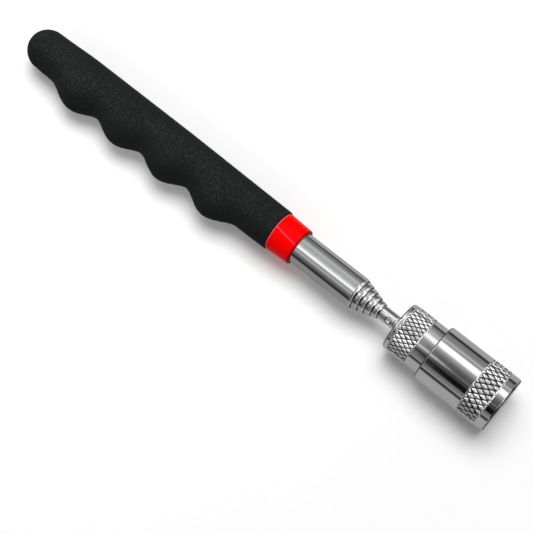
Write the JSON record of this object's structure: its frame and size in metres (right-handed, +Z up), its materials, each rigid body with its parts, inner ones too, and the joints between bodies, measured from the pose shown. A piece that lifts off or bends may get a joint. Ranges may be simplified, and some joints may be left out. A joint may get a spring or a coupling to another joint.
{
  "type": "telescoping magnetic pickup tool",
  "caption": "Telescoping magnetic pickup tool with finger-shaped foam grip, chromed nested tubes and a knurled head that holds a ring magnet around a twist-on lamp.",
  "frame": {"origin": "centre of the box on the plane that the tool lies on, with the tool collapsed", "axes": "+X along the tool towards the magnet face, +Z up, finger crests towards -Y"},
  "size_m": [0.193, 0.0206, 0.019],
  "materials": {
    "grip_foam": "matte closed-cell foam rubber, fine grain",
    "collar_red": "glossy red moulding",
    "tube_chrome": "polished chrome plate",
    "plug_plastic": "plain moulding",
    "steel": "turned",
    "pin_steel": "turned, dished ends",
    "head_chrome": "polished chrome plate, knurled bands",
    "seal_rubber": "plain",
    "spring_steel": "drawn wire",
    "sleeve_plastic": "plain film tube",
    "sleeve_brass": "spring brass",
    "cell_steel": "stamped can",
    "board_green": "fibreglass board",
    "contact_brass": "plated contact",
    "lamp_clear": "clear epoxy lens",
    "holder_plastic": "plain moulding",
    "magnet_nickel": "nickel-plated magnet"
  },
  "bodies": {
    "handle": {"handle_grip": "grip_foam", "grip_collar": "collar_red", "outer_tube": "tube_chrome", "tube_end_plug": "plug_plastic"},
    "stage_2": {"tube_2": "tube_chrome", "friction_sleeve_2": "sleeve_brass"},
    "stage_3": {"tube_3": "tube_chrome", "friction_sleeve_3": "sleeve_brass"},
    "stage_4": {"tube_4": "tube_chrome", "friction_sleeve_4": "sleeve_brass"},
    "stage_5": {"tube_5": "tube_chrome", "friction_sleeve_5": "sleeve_brass"},
    "slide_ring": {"friction_sleeve_6": "sleeve_brass"},
    "head": {"tube_6": "tube_chrome", "neck_stem": "steel", "neck_pin": "pin_steel", "rear_cap": "head_chrome", "cap_seal_ring": "seal_rubber", "battery_spring": "spring_steel", "battery_sleeve": "sleeve_plastic", "button_cell_1": "cell_steel", "button_cell_2": "cell_steel", "button_cell_3": "cell_steel", "button_cell_4": "cell_steel"},
    "lamp_head": {"front_body": "head_chrome", "magnet_ring": "magnet_nickel", "lamp_holder": "holder_plastic", "lamp": "lamp_clear", "lamp_board": "board_green", "board_contact": "contact_brass"}
  },
  "joints": [
    {"name": "tube_2_slide", "type": "slide", "parent": "handle", "child": "stage_2", "axis": [1, 0, 0], "range_m": [0, 0.1195]},
    {"name": "tube_3_slide", "type": "slide", "parent": "stage_2", "child": "stage_3", "axis": [1, 0, 0], "range_m": [0, 0.1215]},
    {"name": "tube_4_slide", "type": "slide", "parent": "stage_3", "child": "stage_4", "axis": [1, 0, 0], "range_m": [0, 0.1235]},
    {"name": "tube_5_slide", "type": "slide", "parent": "stage_4", "child": "stage_5", "axis": [1, 0, 0], "range_m": [0, 0.1255]},
    {"name": "tube_6_slide", "type": "slide", "parent": "stage_5", "child": "slide_ring", "axis": [1, 0, 0], "range_m": [0, 0.128]},
    {"name": "head_spin", "type": "hinge", "parent": "slide_ring", "child": "head", "pos_m": [0.02, 0.00077, 0.0095], "axis": [1, 0, 0], "continuous": true},
    {"name": "switch_twist", "type": "hinge", "parent": "head", "child": "lamp_head", "pos_m": [0.08, 0.00077, 0.0095], "axis": [-1, 0, 0], "range_deg": [0, 120]}
  ]
}
